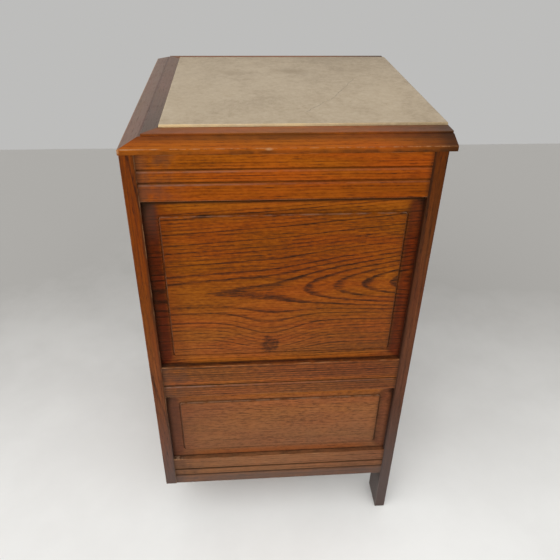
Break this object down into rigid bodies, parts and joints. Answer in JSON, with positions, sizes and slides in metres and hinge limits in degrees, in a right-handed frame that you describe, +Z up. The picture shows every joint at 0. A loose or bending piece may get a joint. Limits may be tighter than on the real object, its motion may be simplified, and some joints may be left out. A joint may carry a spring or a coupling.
{
  "type": "nightstand",
  "caption": "Panelled wooden nightstand with a marble top in a moulded frame, a shallow drawer, a hinged cupboard door with lock and key, and an inner shelf.",
  "frame": {"origin": "on the floor, in the middle of the outer box, which takes in the key in front and the top's overhang behind", "axes": "+Z up, -Y towards the front with the drawer and the door, +X to the right seen from the front"},
  "size_m": [0.462, 0.444, 0.72],
  "materials": {
    "oak": "varnished, worn",
    "plain_wood": "raw",
    "marble": "honed",
    "brass": "aged",
    "iron": "dark, rubbed"
  },
  "bodies": {
    "cabinet": {"back_bottom_rail": "oak", "back_panel": "plain_wood", "back_top_rail": "oak", "bottom_board": "plain_wood", "bottom_cleats": "plain_wood", "divider_rail": "oak", "door_stop": "plain_wood", "drawer_guides": "plain_wood", "drawer_runners": "plain_wood", "drawer_stops": "plain_wood", "frame_hinge_leaves": "brass", "frame_screws": "brass", "front_bottom_rail": "oak", "front_moulding": "oak", "hinge_pins": "brass", "left_back_post": "oak", "left_bottom_rail": "oak", "left_front_post": "oak", "left_lower_panel": "oak", "left_middle_rail": "oak", "left_moulding": "oak", "left_top_rail": "oak", "left_upper_panel": "oak", "marble_bed": "plain_wood", "marble_top": "marble", "plinth_blocks": "plain_wood", "plinth_front": "oak", "plinth_returns": "oak", "right_back_post": "oak", "right_bottom_rail": "oak", "right_front_post": "oak", "right_lower_panel": "oak", "right_middle_rail": "oak", "right_moulding": "oak", "right_top_rail": "oak", "right_upper_panel": "oak", "shelf": "plain_wood", "shelf_cleats": "plain_wood", "strike_plate": "brass"},
    "drawer": {"drawer_front": "oak", "drawer_right_side": "plain_wood", "drawer_left_side": "plain_wood", "drawer_back": "plain_wood", "drawer_bottom": "plain_wood", "drawer_knob": "brass", "drawer_knob_screw": "iron"},
    "door": {"door_hinge_stile": "oak", "door_lock_stile": "oak", "door_top_rail": "oak", "door_middle_rail": "oak", "door_bottom_rail": "oak", "door_upper_panel": "oak", "door_lower_panel": "oak", "door_hinge_leaves": "brass", "door_screws": "brass", "lock_case": "brass", "escutcheon": "brass"},
    "lock_bolt": {"lock_bolt": "brass"},
    "key": {"key": "iron"}
  },
  "joints": [
    {"name": "drawer_slide", "type": "slide", "parent": "cabinet", "child": "drawer", "axis": [0, -1, 0], "range_m": [0, 0.25]},
    {"name": "door_hinge", "type": "hinge", "parent": "cabinet", "child": "door", "pos_m": [0.17725, -0.189, 0.39], "axis": [0, 0, 1], "range_deg": [0, 110]},
    {"name": "key_turn", "type": "hinge", "parent": "door", "child": "key", "pos_m": [-0.1545, -0.185, 0.4195], "axis": [0, -1, 0], "range_deg": [0, 180]},
    {"name": "bolt_slide", "type": "slide", "parent": "door", "child": "lock_bolt", "axis": [-1, 0, 0], "range_m": [0, 0.008]}
  ],
  "couplings": [
    {"joint": "key_turn", "follows": "bolt_slide", "rad_per_m": 392.7}
  ]
}
